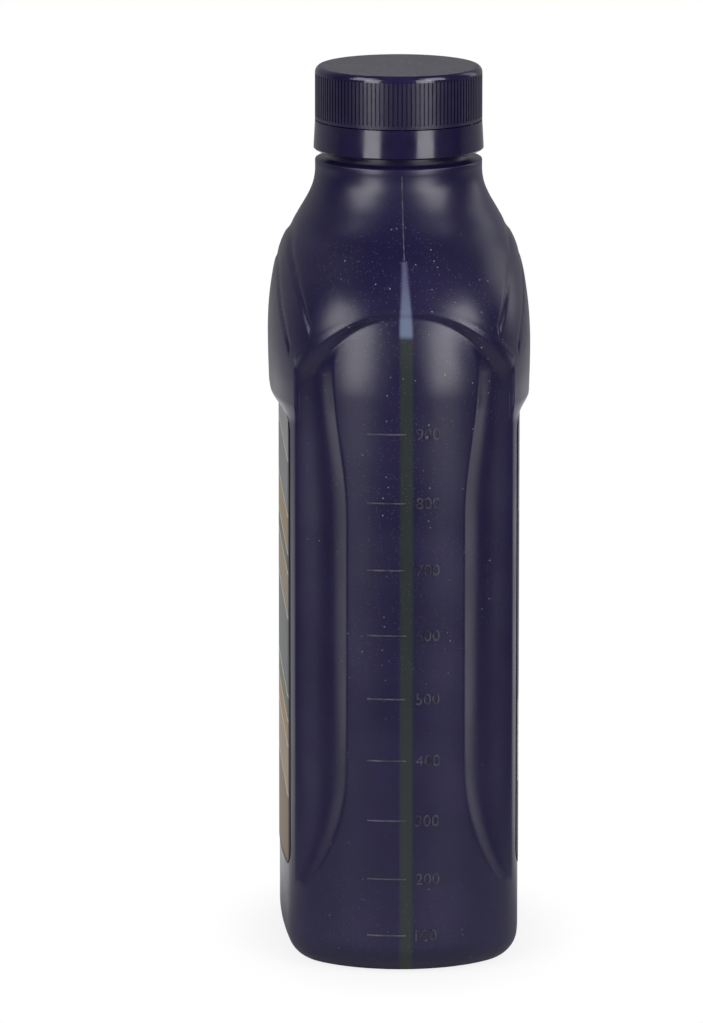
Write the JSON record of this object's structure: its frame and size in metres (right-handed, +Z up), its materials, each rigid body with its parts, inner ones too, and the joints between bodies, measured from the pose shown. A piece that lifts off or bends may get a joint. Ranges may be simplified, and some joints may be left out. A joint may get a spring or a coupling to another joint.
{
  "type": "motor oil bottle",
  "caption": "Tall oval blow-moulded oil bottle with a see-through fill stripe, grip hollows, a caped shoulder and a ribbed tamper-evident screw cap.",
  "frame": {"origin": "middle of the standing face, under the middle of the bottle", "axes": "+Z up along the neck; X along the wide label faces, with the see-through stripe and fill scale on the +X end; the front label faces -Y"},
  "size_m": [0.1067, 0.0722, 0.245],
  "materials": {
    "bottle_plastic": "deep indigo polyethylene, semi-gloss, with a natural see-through stripe down one narrow end",
    "cap_plastic": "dark indigo polypropylene, finely textured top, smooth glossy band",
    "oil": "clear amber liquid",
    "liner_foam": "white foamed wad",
    "foil": "thin bright foil",
    "label_film": "printed film, silver-grey and gold fields, plain"
  },
  "bodies": {
    "bottle": {"bottle": "bottle_plastic", "oil": "oil", "foil_seal": "foil", "tamper_band": "cap_plastic", "front_label": "label_film", "back_label": "label_film"},
    "liner": {"cap_liner": "liner_foam"},
    "cap": {"cap": "cap_plastic"}
  },
  "joints": [
    {"name": "cap_lift", "type": "slide", "parent": "bottle", "child": "liner", "axis": [0, 0, 1], "range_m": [0, 0.0053]},
    {"name": "cap_turn", "type": "hinge", "parent": "liner", "child": "cap", "pos_m": [0, 0, 0.2376], "axis": [0, 0, 1], "range_deg": [0, 450]}
  ],
  "couplings": [
    {"joint": "cap_lift", "follows": "cap_turn", "m_per_rad": 0.00066845}
  ]
}
